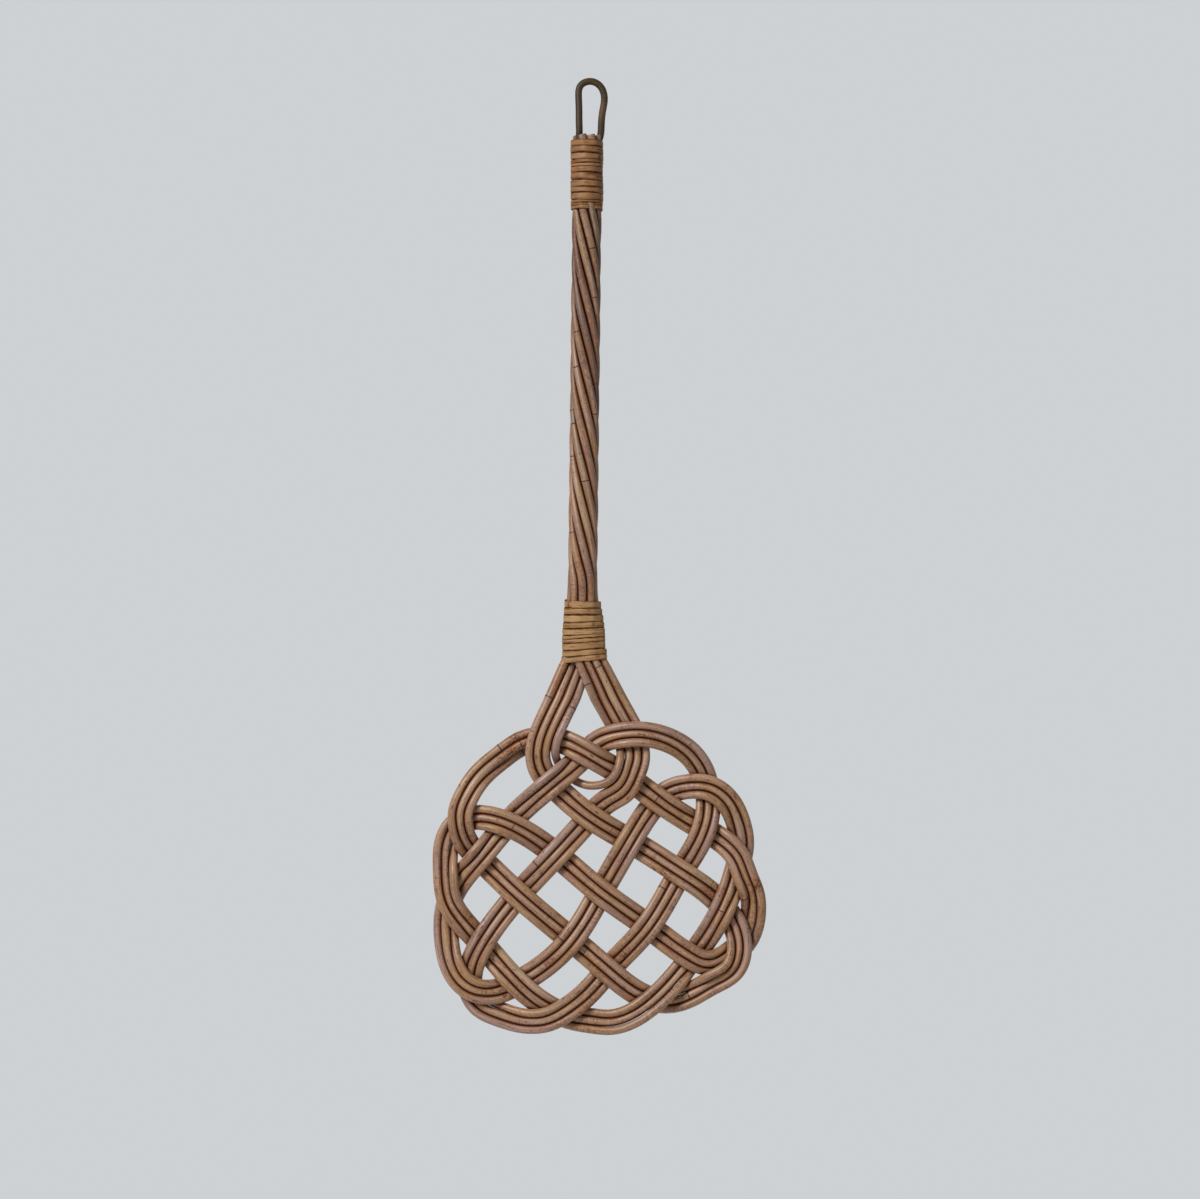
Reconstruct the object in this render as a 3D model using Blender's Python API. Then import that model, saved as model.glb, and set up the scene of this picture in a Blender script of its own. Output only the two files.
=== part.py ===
# Carpet beater of rattan. Eight canes are twisted round a core into a grip, bound at both
# ends with flat strip, and woven below into a knot of three canes that run side by side.
# A ninth, thinner cane makes the hanging loop. Metres, +Z up, front towards -Y.
# The origin is the top of the loop's inside, where the beater hangs.

import math

import bmesh
import bpy
import numpy as np

# Canes and the gaps between their skins
CANE_DIAMETER = 0.0054
LOOP_CANE_DIAMETER = 0.0048
BAND_GAP = 0.0006
BUNDLE_GAP = 0.0004
WEAVE_GAP = 0.0005
CORE_GAP = 0.0004
BUTT_GAP = 0.0003

# Lengths down the hanging axis, from the top
LOOP_RISE = 0.0385
LOOP_WIDTH = 0.0236
LOOP_TUCK_LENGTH = 0.0260
TOP_BINDING_LENGTH = 0.0522
GRIP_LENGTH = 0.2804
BOTTOM_BINDING_LENGTH = 0.0441
NECK_LENGTH = 0.0435
HEAD_HEIGHT = 0.2261
HEAD_WIDTH = 0.2369
CANE_END_RISE = 0.0015

# Sideways places of the slightly bowed handle and of the head
TOP_BINDING_OFFSET = -0.0034
GRIP_OFFSET = -0.0050
BOTTOM_BINDING_OFFSET = -0.0066
NECK_OFFSET = -0.0052
HEAD_OFFSET = 0.0042

# Twist of the grip, and where the loop's legs meet the short cane
TWIST_TURNS = 1.56
JOINT_SHARE = 0.55
FLATTENING_LENGTH = 0.0460
NECK_BLEND_LENGTH = 0.0100

# Bindings of flat strip
TOP_STRIP_WIDTH = 0.0046
BOTTOM_STRIP_WIDTH = 0.0038
STRIP_THICKNESS = 0.0007
STRIP_GAP = 0.0006
WRAP_GAP = 0.0003
LOOP_POINTS = 24

# Fineness of the route and of the faceted canes
ROUTE_STEP = 0.0030
CONTROL_STEP = 0.0060
BUNDLE_STEP = 0.0100
LEAST_SECTION_STEP = 0.0085
MOST_SECTION_STEP = 0.0180
FACET_SAG = 0.00060
FAIRING = 2.0
CONTACT_ROUNDS = 4
SETTLING_STEPS = 300
CONTACT_STIFFNESS = 1.0
CROSSING_INFLUENCE = 0.030
CENTRING = 0.0004
PIN_STIFFNESS = 1e7
BEND_WINDOW = 5
CORE_SECTIONS = 12

# Levels
BINDING_TOP = -LOOP_RISE
GRIP_TOP = BINDING_TOP - TOP_BINDING_LENGTH
GRIP_BOTTOM = GRIP_TOP - GRIP_LENGTH
NECK_TOP = GRIP_BOTTOM - BOTTOM_BINDING_LENGTH
HEAD_TOP = NECK_TOP - NECK_LENGTH
HEAD_CENTRE = HEAD_TOP - HEAD_HEIGHT / 2
CANE_TOP = BINDING_TOP + CANE_END_RISE
TUCK_LEVEL = BINDING_TOP - LOOP_TUCK_LENGTH
JOINT_LEVEL = GRIP_TOP - JOINT_SHARE * GRIP_LENGTH
FLAT_LEVEL = NECK_TOP + BOTTOM_BINDING_LENGTH / 4
RING_LEVEL = FLAT_LEVEL + FLATTENING_LENGTH

# Pitch of the canes that run side by side, and the ring in which eight leaning canes just fit
CANE_PITCH = CANE_DIAMETER + BAND_GAP
BUNDLE_PITCH = CANE_DIAMETER + BUNDLE_GAP

# The canes' order round the grip, from the front towards the right, and in the flat bundle below it
# their columns from the left and whether they lie in front, between or behind.
# L runs into the left leg and R into the right one, each counted from the left.
RING_ORDER = ("R2", "R3", "R4", "L4", "L3", "L2", "L1", "R1")
FLAT_COLUMNS = (0, 1, 2, 1, 0, -1, -2, -1)
FLAT_ROWS = (-1, -1, 0, 1, 1, 1, 0, -1)

TWIST_RATE = 2 * math.pi * TWIST_TURNS / (BINDING_TOP - RING_LEVEL)
UPRIGHT_RADIUS = BUNDLE_PITCH / (2 * math.sin(math.pi / len(RING_ORDER)))
RING_RADIUS = UPRIGHT_RADIUS / math.sqrt(1 - (UPRIGHT_RADIUS * TWIST_RATE) ** 2)

# Centres of the knot's crossings, in shares of the head's width and height from its centre
CROSSING_SHARES = {
    1: (-0.174, 0.444), 2: (-0.140, 0.303), 3: (-0.020, 0.196), 4: (0.098, 0.118),
    5: (0.254, 0.018), 6: (0.383, -0.092), 7: (0.432, -0.223), 8: (0.170, -0.389),
    9: (0.033, -0.294), 10: (-0.081, -0.195), 11: (-0.239, -0.051), 12: (-0.360, 0.067),
    13: (-0.415, 0.182), 14: (-0.032, 0.400), 15: (0.099, 0.315), 16: (0.187, 0.248),
    17: (0.324, 0.155), 18: (0.433, 0.056), 19: (0.290, -0.253), 20: (0.153, -0.153),
    21: (0.011, -0.043), 22: (-0.127, 0.076), 23: (-0.272, 0.1755), 24: (-0.449, -0.068),
    25: (-0.352, -0.207), 26: (-0.242, -0.334), 27: (-0.116, -0.430), 28: (0.333, 0.291),
    29: (-0.387, -0.346), 30: (0.106, 0.462),
}

# The middle cane's way through the knot, from the left leg to the right one.
# A number is a crossing, passed behind and in front by turns, and a pair is a place on a bend.
ROUTE_SHARES = (
    (-0.150, 0.507), 1, (-0.181, 0.387), (-0.170, 0.343), 2, 3, 4, 5, 6, (0.430, -0.188), 7,
    (0.409, -0.293), (0.357, -0.327), (0.280, -0.375), (0.217, -0.394), 8, 9, 10, 11, 12,
    (-0.402, 0.123), 13, (-0.416, 0.211), (-0.398, 0.260), (-0.377, 0.300), (-0.350, 0.335),
    (-0.288, 0.389), (-0.227, 0.431), 1, (-0.105, 0.437), 14, 15, 16, 17, 18, (0.450, 0.003),
    (0.467, -0.035), (0.475, -0.086), (0.471, -0.146), 7, (0.391, -0.250), (0.350, -0.272), 19, 20,
    21, 22, 23, (-0.315, 0.190), (-0.369, 0.196), 13, (-0.456, 0.121), (-0.461, 0.032), 24,
    (-0.420, -0.122), 25, 26, 27, (-0.070, -0.447), (-0.025, -0.4535), (0.035, -0.459),
    (0.104, -0.437), 8, 19, 6, 18, (0.441, 0.107), (0.430, 0.173), (0.409, 0.226), (0.374, 0.269), 28,
    (0.278, 0.292), (0.219, 0.275), 16, 4, 21, 10, 26, (-0.315, -0.361), 29, (-0.409, -0.329),
    (-0.440, -0.281), (-0.458, -0.204), (-0.461, -0.131), 24, 12, 23, 2, 14, (0.009, 0.437),
    (0.064, 0.456), 30, (0.187, 0.452), (0.249, 0.423), (0.291, 0.386), (0.321, 0.335), 28,
    (0.336, 0.207), 17, 5, 20, 9, (-0.036, -0.372), 27, (-0.157, -0.449), (-0.195, -0.4535),
    (-0.234, -0.4515), (-0.298, -0.433), (-0.360, -0.402), 29, (-0.385, -0.292), 25, 11, 22, 3,
    (0.046, 0.258), (0.091, 0.291), 15, (0.122, 0.375), (0.119, 0.419), 30, (0.087, 0.501),
)

# The short cane's own bend at the top of the knot, between its two legs, and where it crosses others
SHORT_BEND_SHARES = (
    (-0.125, 0.389), (-0.114, 0.354), (-0.073, 0.313), (-0.038, 0.298), (0.004, 0.298),
    (0.042, 0.317), (0.062, 0.350), (0.069, 0.382), (0.068, 0.419),
)
SHORT_CROSSINGS = (1, 6)

# The hanging loop's bend, in shares of its half width and of its rise above the binding
LOOP_BEND_SHARES = (
    (-0.98, 0.24), (-0.99, 0.50), (-0.97, 0.80), (-0.72, 0.965), (-0.15, 1.0),
    (0.40, 0.965), (0.94, 0.80), (0.98, 0.64), (0.92, 0.40), (0.82, 0.23),
)


def solve_spline(places, spacing):
    """Points about `spacing` apart on the natural cubic curve through the places, and where each place is."""
    places = np.asarray(places, float)
    lengths = np.linalg.norm(np.diff(places, axis=0), axis=1)
    knots = np.concatenate(([0.0], np.cumsum(lengths)))
    count = len(places)
    system = np.eye(count)
    target = np.zeros_like(places)
    for i in range(1, count - 1):
        system[i, i - 1 : i + 2] = (lengths[i - 1], 2 * (lengths[i - 1] + lengths[i]), lengths[i])
        ahead = (places[i + 1] - places[i]) / lengths[i]
        behind = (places[i] - places[i - 1]) / lengths[i - 1]
        target[i] = 6 * (ahead - behind)
    bends = np.linalg.solve(system, target)
    at = np.linspace(0, knots[-1], int(knots[-1] / spacing) + 2)
    k = np.clip(np.searchsorted(knots, at, side="right") - 1, 0, count - 2)
    left = (knots[k + 1] - at)[:, None]
    right = (at - knots[k])[:, None]
    span = lengths[k][:, None]
    points = (bends[k] * left**3 + bends[k + 1] * right**3) / (6 * span)
    points += (places[k] / span - bends[k] * span / 6) * left
    points += (places[k + 1] / span - bends[k + 1] * span / 6) * right
    return points, knots / knots[-1]


def second_differences(count):
    return np.diff(np.eye(count), 2, axis=0)


def faired(points, stiffness):
    """The points with the small unevenness of hand-set places ironed out, ends kept."""
    bend = second_differences(len(points))
    system = np.eye(len(points)) + stiffness * bend.T @ bend
    system[0] = 0
    system[-1] = 0
    system[0, 0] = 1
    system[-1, -1] = 1
    return np.linalg.solve(system, points)


def arc_lengths(points):
    steps = np.linalg.norm(np.diff(points, axis=0), axis=1)
    return np.concatenate(([0.0], np.cumsum(steps)))


def points_at(points, lengths, wanted):
    return np.column_stack([np.interp(wanted, lengths, points[:, axis]) for axis in range(3)])


def in_sections(points, least, most, sag):
    """The curve cut into sections, shorter where it bends more, so that no chord sags more than `sag`."""
    lengths = arc_lengths(points)
    even = np.linspace(0, lengths[-1], int(lengths[-1] / ROUTE_STEP) + 2)
    curve = points_at(points, lengths, even)
    step = even[1]
    bend = np.linalg.norm(second_differences(len(curve)) @ curve, axis=1) / step**2
    bend = np.concatenate(([bend[0]], bend, [bend[-1]]))
    window = np.ones(BEND_WINDOW) / BEND_WINDOW
    bend = np.convolve(np.pad(bend, BEND_WINDOW // 2, mode="edge"), window, mode="valid")
    wanted = np.clip(np.sqrt(8 * sag / np.maximum(bend, 1 / most)), least, most)
    share = np.concatenate(([0.0], np.cumsum(step * (1 / wanted[1:] + 1 / wanted[:-1]) / 2)))
    count = max(int(round(share[-1])), 2)
    places = np.interp(np.linspace(0, share[-1], count + 1), share, even)
    return points_at(curve, even, places)


def beside(plan, distance):
    """The plan curve moved sideways, to the right of its travel as seen from the front."""
    along = np.gradient(plan, axis=0)
    along /= np.linalg.norm(along, axis=1)[:, None]
    return plan + distance * np.column_stack((along[:, 1], -along[:, 0]))


def handle_offset(level):
    levels = (NECK_TOP, GRIP_BOTTOM, (GRIP_TOP + GRIP_BOTTOM) / 2, GRIP_TOP, BINDING_TOP)
    offsets = (NECK_OFFSET, BOTTOM_BINDING_OFFSET, GRIP_OFFSET, TOP_BINDING_OFFSET, TOP_BINDING_OFFSET)
    return np.interp(level, levels, offsets)


def bundle_place(name, level):
    """Where a place of the handle's bundle lies at a level: in the twisted ring, or flattened below it."""
    place = RING_ORDER.index(name)
    angle = 2 * math.pi * place / len(RING_ORDER) - TWIST_RATE * max(level - RING_LEVEL, 0.0)
    ring = RING_RADIUS * np.array((math.sin(angle), -math.cos(angle)))
    flat = BUNDLE_PITCH * np.array((FLAT_COLUMNS[place], FLAT_ROWS[place] / 2))
    share = np.clip((RING_LEVEL - level) / (RING_LEVEL - FLAT_LEVEL), 0, 1)
    share = share * share * (3 - 2 * share)
    x, y = ring * (1 - share) + flat * share
    return np.array((x + handle_offset(level), y, level))


def bundle_run(name, top, bottom):
    """Places down the handle from one level to another."""
    count = int((top - bottom) / BUNDLE_STEP) + 2
    return [bundle_place(name, level) for level in np.linspace(top, bottom, count)]


def head_place(share):
    return np.array((HEAD_OFFSET + share[0] * HEAD_WIDTH, HEAD_CENTRE + share[1] * HEAD_HEIGHT))


def plan_of(place):
    return place[[0, 2]]


def middle_route():
    """The middle cane's plan curve through the knot, and where along it the crossings are, as shares."""
    places = [plan_of(bundle_place("L2", NECK_TOP))]
    crossed = [0]
    for entry in ROUTE_SHARES:
        if isinstance(entry, int):
            crossed.append(len(places))
            entry = CROSSING_SHARES[entry]
        places.append(head_place(entry))
    crossed.append(len(places))
    places.append(plan_of(bundle_place("R3", NECK_TOP)))
    curve, knots = solve_spline(places, ROUTE_STEP)
    return faired(curve, FAIRING), knots[crossed]


def woven(plan, crossed):
    """The plan curve with depth: behind at its first crossing, in front at the next, and so on."""
    shares = np.linspace(0, 1, len(plan))
    phase = math.pi * np.interp(shares, crossed, np.arange(len(crossed)))
    return np.column_stack((plan[:, 0], CANE_PITCH / 2 * np.cos(phase), plan[:, 1]))


def thinned(points, step):
    """Some of the points, about a step apart, without those that lie in the neck's blend."""
    lengths = arc_lengths(points)
    kept = (lengths > NECK_BLEND_LENGTH) & (lengths < lengths[-1] - NECK_BLEND_LENGTH)
    inner = points[kept]
    count = int((lengths[kept][-1] - lengths[kept][0]) / step) + 2
    return points_at(inner, arc_lengths(inner), np.linspace(0, arc_lengths(inner)[-1], count))


def long_cane(start, end, lane, route, crossed):
    """A cane of the band: down the handle, through the knot beside the middle cane, and up again."""
    knot = woven(beside(route, lane * CANE_PITCH), crossed)
    places = bundle_run(start, CANE_TOP, NECK_TOP)
    places += list(thinned(knot, CONTROL_STEP))
    places += bundle_run(end, CANE_TOP, NECK_TOP)[::-1]
    return solve_spline(places, ROUTE_STEP)[0]


def short_cane(route, crossed):
    """The cane that turns back at the top of the knot. Its legs lie inside the band's legs."""
    inner = beside(route, -2 * CANE_PITCH)
    first, last = np.rint(crossed[[1, -2]] * (len(inner) - 1)).astype(int)
    left = inner[: first + 1]
    right = inner[last:]
    bend = [head_place(share) for share in SHORT_BEND_SHARES]
    plan, knots = solve_spline([*left, *bend, *right], ROUTE_STEP)
    on_bend = [len(left) + place for place in SHORT_CROSSINGS]
    knot = woven(plan, knots[[0, first, *on_bend, len(left) + len(bend), -1]])
    top = JOINT_LEVEL - BUTT_GAP / 2
    places = bundle_run("L4", top, NECK_TOP)
    places += list(thinned(knot, CONTROL_STEP))
    places += bundle_run("R1", top, NECK_TOP)[::-1]
    return solve_spline(places, ROUTE_STEP)[0]


def loop_cane():
    """The way of the hanging loop's cane, whose legs take the short cane's places in the grip."""
    bottom = JOINT_LEVEL + BUTT_GAP / 2
    left = bundle_run("L4", BINDING_TOP, bottom)[::-1]
    right = bundle_run("R1", BINDING_TOP, bottom)
    half = (LOOP_WIDTH - LOOP_CANE_DIAMETER) / 2
    rise = LOOP_RISE + LOOP_CANE_DIAMETER / 2
    bend = []
    for side, height in LOOP_BEND_SHARES:
        foot = left[-1] if side < 0 else right[0]
        bend.append(np.array((side * half, foot[1] * (1 - height), BINDING_TOP + height * rise)))
    return solve_spline(left + bend + right, ROUTE_STEP)[0]


def loop_pieces(way):
    """The loop's cane in three, cut inside the top binding: its bend, its left leg and its right leg."""
    lengths = arc_lengths(way)
    peak = int(np.argmax(way[:, 2]))
    rising = np.interp(TUCK_LEVEL, way[:peak, 2], lengths[:peak])
    falling = np.interp(-TUCK_LEVEL, -way[peak:, 2], lengths[peak:])
    half = BUTT_GAP / 2
    pieces = []
    for start, end in ((rising + half, falling - half), (0.0, rising - half), (falling + half, lengths[-1])):
        between = lengths[(lengths > start) & (lengths < end)]
        pieces.append(points_at(way, lengths, [start, *between, end]))
    return pieces


def closest(starts, ends, other_starts, other_ends):
    """Shares along two sets of segments where they come closest, and the distance there."""
    along = ends - starts
    other = other_ends - other_starts
    between = starts - other_starts
    a = (along * along).sum(1)
    e = (other * other).sum(1)
    b = (along * other).sum(1)
    c = (along * between).sum(1)
    f = (other * between).sum(1)
    spread = a * e - b * b
    s = np.clip((b * f - c * e) / np.maximum(spread, 1e-9 * a * e), 0, 1)
    t = np.clip((b * s + f) / e, 0, 1)
    s = np.clip((b * t - c) / a, 0, 1)
    gap = starts + s[:, None] * along - other_starts - t[:, None] * other
    return s, t, np.linalg.norm(gap, axis=1)


def segment_pairs(canes, reach, skip):
    """Pairs of segments whose middles are near each other, leaving out neighbours along one cane."""
    starts = np.vstack([cane[:-1] for cane in canes])
    ends = np.vstack([cane[1:] for cane in canes])
    owner = np.repeat(np.arange(len(canes)), [len(cane) - 1 for cane in canes])
    middle = (starts + ends) / 2
    half = np.linalg.norm(ends - starts, axis=1) / 2
    index = np.arange(len(starts))
    first = []
    second = []
    for i in index:
        near = np.linalg.norm(middle[i + 1 :] - middle[i], axis=1) < half[i + 1 :] + half[i] + reach
        near &= (owner[i + 1 :] != owner[i]) | (index[i + 1 :] - i > skip)
        found = index[i + 1 :][near]
        first.append(np.full(len(found), i))
        second.append(found)
    return starts, ends, owner, np.concatenate(first), np.concatenate(second)


def contacts(canes, reach):
    """Pairs of segments that lie over each other near a crossing, and which of the two is behind."""
    flat = [cane * (1, 0, 1) for cane in canes]
    skip = int(3 * reach / LEAST_SECTION_STEP)
    starts, ends, owner, i, j = segment_pairs(flat, reach, skip)
    s, t, distance = closest(starts[i], ends[i], starts[j], ends[j])
    free = (starts[i, 2] < NECK_TOP) & (starts[j, 2] < NECK_TOP) & (distance < reach)
    i, j, s, t, distance = (values[free] for values in (i, j, s, t, distance))
    crossed = np.flatnonzero(distance < WEAVE_GAP / 1000)
    apart = np.abs(i[:, None] - i[crossed]) + np.abs(j[:, None] - j[crossed])
    ruled = apart.min(1) * LEAST_SECTION_STEP < CROSSING_INFLUENCE
    i = i + owner[i]
    j = j + owner[j]
    corners = np.stack((i, i + 1, j, j + 1))
    depth = np.concatenate([cane[:, 1] for cane in canes])
    side = np.sign((np.stack((1 - s, s, t - 1, -t)) * depth[corners]).sum(0))
    return corners[:, ruled], side[crossed][apart.argmin(1)][ruled]


def springs(canes, pinned):
    """The stiffness matrix of the canes' bending, with their pinned points held."""
    count = sum(len(cane) for cane in canes)
    stiff = CENTRING * np.eye(count)
    first = 0
    for cane in canes:
        last = first + len(cane)
        bend = second_differences(len(cane))
        stiff[first:last, first:last] += bend.T @ bend
        first = last
    stiff[pinned, pinned] += PIN_STIFFNESS
    return stiff


def settled(canes):
    """The canes with their depths eased like springy rods that press on each other where they cross."""
    reach = CANE_DIAMETER + WEAVE_GAP
    corners, side = contacts(canes, reach)
    points = np.vstack(canes)
    pinned = np.flatnonzero(points[:, 2] >= NECK_TOP)
    held = np.zeros(len(points))
    held[pinned] = PIN_STIFFNESS * points[pinned, 1]
    for _ in range(CONTACT_ROUNDS):
        s, t, _distance = closest(*points[corners])
        shares = np.stack((1 - s, s, t - 1, -t))
        between = (shares[:, :, None] * points[corners]).sum(0)
        beside_square = between[:, 0] ** 2 + between[:, 2] ** 2
        need = np.sqrt(np.maximum(reach**2 - beside_square, 0))
        shares = side * shares
        stiff = springs(canes, pinned)
        for a in range(4):
            for b in range(4):
                np.add.at(stiff, (corners[a], corners[b]), CONTACT_STIFFNESS * shares[a] * shares[b])
        eased = np.linalg.inv(stiff)
        gap = (shares * points[corners, 1]).sum(0)
        kept = np.maximum(gap, need)
        pressed = np.zeros(len(gap))
        for _ in range(SETTLING_STEPS):
            push = CONTACT_STIFFNESS * shares * (kept - pressed)
            depth = eased @ (held + np.bincount(corners.ravel(), push.ravel(), len(points)))
            gap = (shares * depth[corners]).sum(0)
            kept = np.maximum(gap + pressed, need)
            pressed += gap - kept
        points[:, 1] = depth
    return np.split(points, np.cumsum([len(cane) for cane in canes])[:-1])


def least_gap(canes, diameters):
    """The least gap between the skins of the canes, also of one cane with itself."""
    widest = max(diameters)
    skip = int(3 * widest / LEAST_SECTION_STEP)
    starts, ends, owner, i, j = segment_pairs(canes, widest, skip)
    distance = closest(starts[i], ends[i], starts[j], ends[j])[2]
    radius = np.array(diameters)[owner] / 2
    return float((distance - radius[i] - radius[j]).min())


def strand(points):
    """The first run of a cane that only falls or only climbs."""
    climb = np.diff(points[:, 2])
    turned = np.flatnonzero(climb * climb[0] < 0)
    return points[: min([*turned, len(climb)]) + 1]


def centres_at(strands, level):
    """The middles of the canes that pass a level, as (x, y, radius)."""
    found = []
    for points, diameter in strands:
        if points[:, 2].min() <= level <= points[:, 2].max():
            order = np.argsort(points[:, 2])
            run = points[order]
            x = np.interp(level, run[:, 2], run[:, 0])
            y = np.interp(level, run[:, 2], run[:, 1])
            found.append((x, y, diameter / 2))
    return np.array(found)


def winding(strands, top, length, width):
    """The vertices of a flat strip wound round the bundle, as rings of four corners."""
    turns = int((length - width) / (width + STRIP_GAP))
    pitch = (length - width) / turns
    rings = []
    for step in range(turns * LOOP_POINTS + 1):
        angle = 2 * math.pi * step / LOOP_POINTS
        normal = np.array((math.sin(angle), -math.cos(angle)))
        middle = top - width / 2 - pitch * step / LOOP_POINTS
        best = -math.inf
        for level in (middle - width / 2, middle, middle + width / 2):
            for x, y, radius in centres_at(strands, level):
                support = x * normal[0] + y * normal[1] + radius
                if support > best:
                    best = support
                    seat = np.array((x, y)) + normal * (radius + WRAP_GAP)
        outside = seat + normal * STRIP_THICKNESS
        rings.append(
            [
                (*seat, middle - width / 2),
                (*outside, middle - width / 2),
                (*outside, middle + width / 2),
                (*seat, middle + width / 2),
            ]
        )
    return np.array(rings)


def turn_gap(rings):
    """The least distance between one turn's lower edge and the next turn's upper edge."""
    least = math.inf
    for turn in range(len(rings) - LOOP_POINTS // 2):
        low = rings[turn, :2]
        ahead = rings[turn + LOOP_POINTS // 2 :, 2:].reshape(-1, 3)
        least = min(least, float(np.linalg.norm(ahead[:, None] - low[None], axis=2).min()))
    return least


def clear_scene():
    for item in list(bpy.data.objects):
        bpy.data.objects.remove(item, do_unlink=True)


def finish_material(name, colour, roughness):
    material = bpy.data.materials.new(name)
    material.use_nodes = True
    shader = material.node_tree.nodes["Principled BSDF"]
    shader.inputs["Base Color"].default_value = (*colour, 1.0)
    shader.inputs["Roughness"].default_value = roughness
    shader.inputs["Metallic"].default_value = 0.0
    return material


def add_rod(name, points, diameter, sides, material):
    """A round cane as a bevelled curve with closed ends."""
    curve = bpy.data.curves.new(name, "CURVE")
    curve.dimensions = "3D"
    curve.bevel_depth = diameter / 2
    curve.bevel_resolution = sides
    curve.use_fill_caps = True
    spline = curve.splines.new("POLY")
    spline.points.add(len(points) - 1)
    for target, place in zip(spline.points, points):
        target.co = (*place, 1.0)
    spline.use_smooth = True
    curve.materials.append(material)
    rod = bpy.data.objects.new(name, curve)
    bpy.context.collection.objects.link(rod)
    return rod


def add_strip(name, rings, material):
    """A wound strip as one closed mesh bridged from ring to ring."""
    mesh = bpy.data.meshes.new(name)
    work = bmesh.new()
    loops = [[work.verts.new(corner) for corner in ring] for ring in rings]
    for before, after in zip(loops, loops[1:]):
        for k in range(4):
            work.faces.new((before[k], before[(k + 1) % 4], after[(k + 1) % 4], after[k]))
    work.faces.new(loops[0][::-1])
    work.faces.new(loops[-1])
    bmesh.ops.recalc_face_normals(work, faces=work.faces)
    work.to_mesh(mesh)
    work.free()
    mesh.shade_smooth()
    mesh.set_sharp_from_angle(angle=math.radians(40))
    mesh.materials.append(material)
    strip = bpy.data.objects.new(name, mesh)
    bpy.context.collection.objects.link(strip)
    return strip


def main():
    clear_scene()
    route, crossed = middle_route()
    canes = [
        long_cane("L1", "R4", 1, route, crossed),
        long_cane("L2", "R3", 0, route, crossed),
        long_cane("L3", "R2", -1, route, crossed),
        short_cane(route, crossed),
        *loop_pieces(loop_cane()),
    ]
    canes = [in_sections(cane, LEAST_SECTION_STEP, MOST_SECTION_STEP, FACET_SAG) for cane in canes]
    canes = settled(canes[:4]) + canes[4:]
    diameters = [CANE_DIAMETER] * 4 + [LOOP_CANE_DIAMETER] * 3
    print("least gap between the band's canes, mm:", round(1000 * least_gap(canes[:4], diameters[:4]), 3))
    loop_gap = min(least_gap([*canes[:3], piece], diameters[1:5]) for piece in canes[4:])
    print("least gap to the loop's cane, mm:", round(1000 * loop_gap, 3))

    finishes = (
        ("right_hand_cane", (0.42, 0.27, 0.15)),
        ("middle_cane", (0.47, 0.31, 0.18)),
        ("left_hand_cane", (0.40, 0.25, 0.14)),
        ("short_cane", (0.44, 0.28, 0.17)),
        ("hanging_loop", (0.17, 0.12, 0.06)),
        ("left_loop_leg", (0.22, 0.16, 0.09)),
        ("right_loop_leg", (0.22, 0.16, 0.09)),
    )
    for (name, colour), points, diameter in zip(finishes, canes, diameters):
        add_rod(name, points, diameter, 1, finish_material(name, colour, 0.45))

    strands = []
    for points, diameter in zip(canes, diameters):
        strands.append((strand(points), diameter))
        strands.append((strand(points[::-1]), diameter))
    bindings = (
        ("top_binding", BINDING_TOP, TOP_BINDING_LENGTH, TOP_STRIP_WIDTH, (0.48, 0.25, 0.11)),
        ("bottom_binding", GRIP_BOTTOM, BOTTOM_BINDING_LENGTH, BOTTOM_STRIP_WIDTH, (0.55, 0.35, 0.14)),
    )
    for name, top, length, width, colour in bindings:
        rings = winding(strands, top, length, width)
        print("least gap between turns of", name, "mm:", round(1000 * turn_gap(rings), 3))
        add_strip(name, rings, finish_material(name, colour, 0.35))

    core_diameter = 2 * (RING_RADIUS - CANE_DIAMETER / 2 - CORE_GAP)
    levels = np.linspace(CANE_TOP, RING_LEVEL + CORE_GAP, CORE_SECTIONS)
    core = [np.array((handle_offset(level), 0.0, level)) for level in levels]
    add_rod("handle_core", core, core_diameter, 2, finish_material("handle_core", (0.43, 0.29, 0.17), 0.6))
    print("points in the canes:", [len(cane) for cane in canes])


main()
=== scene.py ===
import math

import bmesh
import bpy
import numpy as np
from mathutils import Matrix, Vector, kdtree


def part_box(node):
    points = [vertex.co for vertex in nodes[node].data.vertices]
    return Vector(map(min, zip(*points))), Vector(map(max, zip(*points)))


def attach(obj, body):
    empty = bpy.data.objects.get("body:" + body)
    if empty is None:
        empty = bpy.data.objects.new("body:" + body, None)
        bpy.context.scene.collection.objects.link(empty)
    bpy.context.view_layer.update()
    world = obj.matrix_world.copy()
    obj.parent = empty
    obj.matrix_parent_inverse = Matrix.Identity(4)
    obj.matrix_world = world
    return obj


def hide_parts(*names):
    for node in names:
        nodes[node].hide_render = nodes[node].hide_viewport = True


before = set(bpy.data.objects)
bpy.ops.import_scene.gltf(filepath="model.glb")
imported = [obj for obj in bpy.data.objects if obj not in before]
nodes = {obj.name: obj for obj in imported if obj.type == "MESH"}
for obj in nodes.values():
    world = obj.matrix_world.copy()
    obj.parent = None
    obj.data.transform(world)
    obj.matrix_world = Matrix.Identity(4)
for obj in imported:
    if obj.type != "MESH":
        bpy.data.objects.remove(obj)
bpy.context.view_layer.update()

print("frame loaded:", sorted(nodes))


class Socket:  # an output of a node, which can be used in sums

    def __init__(self, tree, link):
        self.tree = tree
        self.link = link

    def math(self, operation, a, b):
        return self.tree.node("ShaderNodeMath", {"operation": operation}, {0: a, 1: b})

    def __add__(self, other):
        return self.math("ADD", self, other)

    __radd__ = __add__

    def __sub__(self, other):
        return self.math("SUBTRACT", self, other)

    def __rsub__(self, other):
        return self.math("SUBTRACT", other, self)

    def __mul__(self, other):
        return self.math("MULTIPLY", self, other)

    __rmul__ = __mul__

    def larger(self, other):
        return self.math("MAXIMUM", self, other)


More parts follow.
